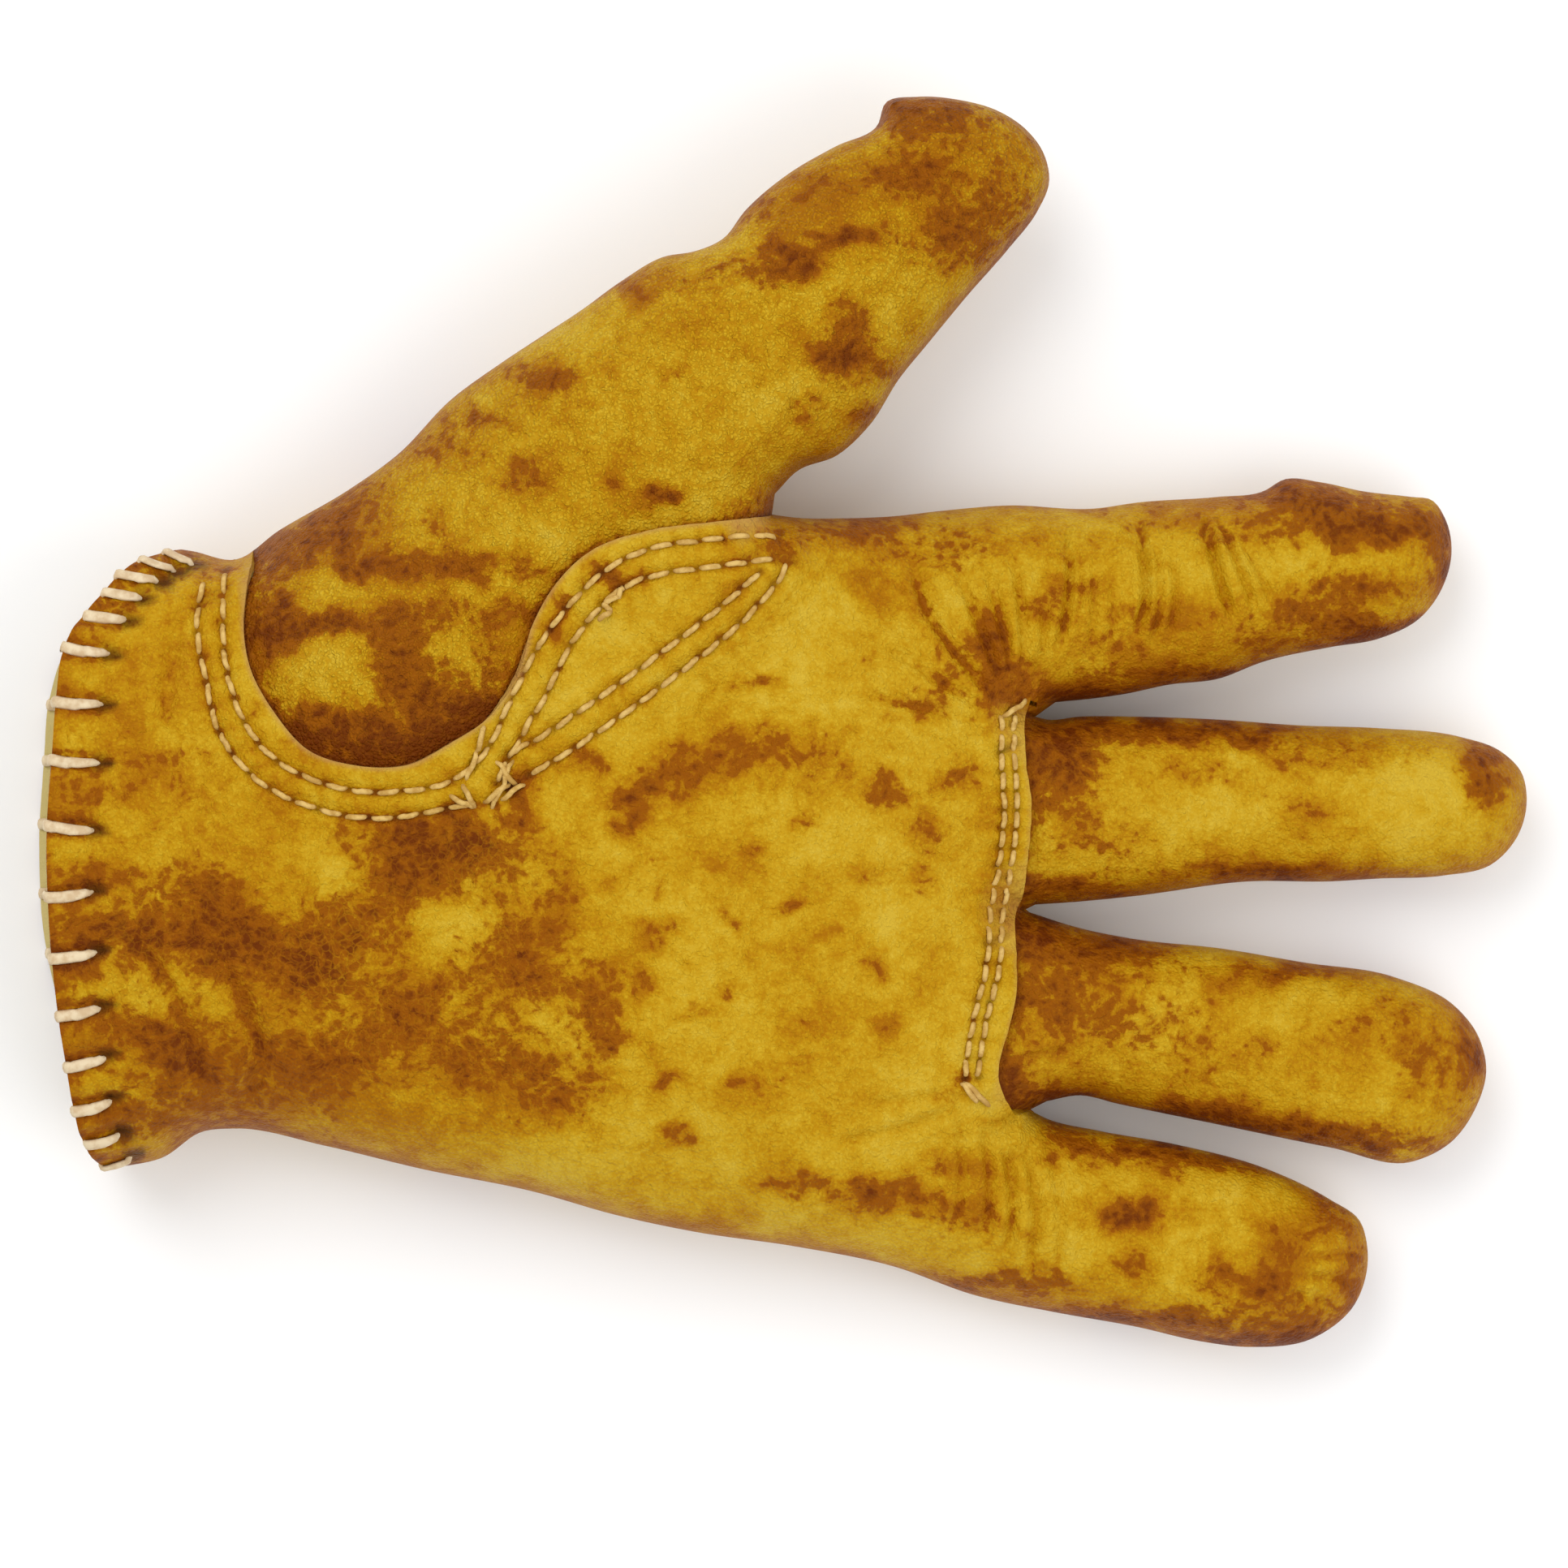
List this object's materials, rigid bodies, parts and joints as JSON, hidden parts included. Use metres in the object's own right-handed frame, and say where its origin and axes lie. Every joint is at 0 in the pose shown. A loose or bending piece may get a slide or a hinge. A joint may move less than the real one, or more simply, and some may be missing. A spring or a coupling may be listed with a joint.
{
  "type": "leather work glove",
  "caption": "Left-hand five-finger leather glove with a laced cuff, lapped thumb and finger-root seams, a patch inside the palm, and digits that bend.",
  "frame": {"origin": "middle of the footprint, on the surface the glove lies on with its back down", "axes": "+X from the cuff to the fingertips, +Y to the thumb's side, +Z out of the palm"},
  "size_m": [0.2571, 0.2131, 0.0433],
  "materials": {
    "leather_yellow": "smooth grain leather, washed and stained, semi-matt",
    "leather_suede": "flesh side, matt",
    "thread_cream": "twisted thread, matt",
    "lace_ivory": "flat rawhide lace, semi-matt",
    "elastic_web": "woven elastic, matt"
  },
  "bodies": {
    "hand": {"palm_panel": "leather_yellow", "back_panel": "leather_yellow", "thumb_lobe": "leather_yellow", "palm_patch": "leather_suede", "wrist_elastic": "elastic_web", "thumb_seam_stitches": "thread_cream", "patch_seam_stitches": "thread_cream", "finger_seam_stitches": "thread_cream", "wrist_fold": "leather_yellow", "thumb_base_fold": "leather_yellow", "index_base_fold": "leather_yellow", "middle_base_fold": "leather_yellow", "ring_base_fold": "leather_yellow", "little_base_fold": "leather_yellow"},
    "cuff": {"cuff_front": "leather_yellow", "cuff_back": "leather_yellow", "hem_lace": "lace_ivory"},
    "thumb_base": {"thumb_base_front": "leather_yellow", "thumb_base_back": "leather_yellow", "thumb_tip_fold": "leather_yellow"},
    "thumb_tip": {"thumb_tip_front": "leather_yellow", "thumb_tip_back": "leather_yellow"},
    "index_base": {"index_base_front": "leather_yellow", "index_base_back": "leather_yellow", "index_base_fourchette_inner": "leather_yellow", "index_bend_fold": "leather_yellow"},
    "index_tip": {"index_tip_front": "leather_yellow", "index_tip_back": "leather_yellow", "index_tip_fourchette_inner": "leather_yellow"},
    "middle_base": {"middle_base_front": "leather_yellow", "middle_base_back": "leather_yellow", "middle_base_fourchette_upper": "leather_yellow", "middle_base_fourchette_lower": "leather_yellow", "middle_bend_fold": "leather_yellow"},
    "middle_tip": {"middle_tip_front": "leather_yellow", "middle_tip_back": "leather_yellow", "middle_tip_fourchette_upper": "leather_yellow", "middle_tip_fourchette_lower": "leather_yellow"},
    "ring_base": {"ring_base_front": "leather_yellow", "ring_base_back": "leather_yellow", "ring_base_fourchette_upper": "leather_yellow", "ring_base_fourchette_lower": "leather_yellow", "ring_bend_fold": "leather_yellow"},
    "ring_tip": {"ring_tip_front": "leather_yellow", "ring_tip_back": "leather_yellow", "ring_tip_fourchette_upper": "leather_yellow", "ring_tip_fourchette_lower": "leather_yellow"},
    "little_base": {"little_base_front": "leather_yellow", "little_base_back": "leather_yellow", "little_base_fourchette_inner": "leather_yellow", "little_bend_fold": "leather_yellow"},
    "little_tip": {"little_tip_front": "leather_yellow", "little_tip_back": "leather_yellow", "little_tip_fourchette_inner": "leather_yellow"}
  },
  "joints": [
    {"name": "wrist_flex", "type": "hinge", "parent": "hand", "child": "cuff", "pos_m": [-0.102, -0.0205, 0.012], "axis": [0, 1, 0], "range_deg": [0, 45], "deforming": ["wrist_fold"]},
    {"name": "index_base_flex", "type": "hinge", "parent": "hand", "child": "index_base", "pos_m": [0.047, 0.0209, 0.012], "axis": [0, -1, 0], "range_deg": [0, 60], "deforming": ["index_base_fold"]},
    {"name": "index_bend_flex", "type": "hinge", "parent": "index_base", "child": "index_tip", "pos_m": [0.074, 0.0243, 0.012], "axis": [0, -1, 0], "range_deg": [0, 74], "deforming": ["index_bend_fold"]},
    {"name": "middle_base_flex", "type": "hinge", "parent": "hand", "child": "middle_base", "pos_m": [0.047, -0.015, 0.012], "axis": [0, -1, 0], "range_deg": [0, 60], "deforming": ["middle_base_fold"]},
    {"name": "middle_bend_flex", "type": "hinge", "parent": "middle_base", "child": "middle_tip", "pos_m": [0.082, -0.0159, 0.012], "axis": [0, -1, 0], "range_deg": [0, 74], "deforming": ["middle_bend_fold"]},
    {"name": "ring_base_flex", "type": "hinge", "parent": "hand", "child": "ring_base", "pos_m": [0.047, -0.0501, 0.012], "axis": [0, -1, 0], "range_deg": [0, 60], "deforming": ["ring_base_fold"]},
    {"name": "ring_bend_flex", "type": "hinge", "parent": "ring_base", "child": "ring_tip", "pos_m": [0.078, -0.055, 0.012], "axis": [0, -1, 0], "range_deg": [0, 74], "deforming": ["ring_bend_fold"]},
    {"name": "little_base_flex", "type": "hinge", "parent": "hand", "child": "little_base", "pos_m": [0.047, -0.0847, 0.012], "axis": [0, -1, 0], "range_deg": [0, 60], "deforming": ["little_base_fold"]},
    {"name": "little_bend_flex", "type": "hinge", "parent": "little_base", "child": "little_tip", "pos_m": [0.07, -0.0893, 0.012], "axis": [0, -1, 0], "range_deg": [0, 74], "deforming": ["little_bend_fold"]},
    {"name": "thumb_base_flex", "type": "hinge", "parent": "hand", "child": "thumb_base", "pos_m": [-0.0089, 0.05973, 0.024], "axis": [0.6794, -0.7337, 0], "range_deg": [0, 45], "deforming": ["thumb_base_fold"]},
    {"name": "thumb_tip_flex", "type": "hinge", "parent": "thumb_base", "child": "thumb_tip", "pos_m": [0.01385, 0.0808, 0.024], "axis": [0.6794, -0.7337, 0], "range_deg": [0, 60], "deforming": ["thumb_tip_fold"]}
  ]
}
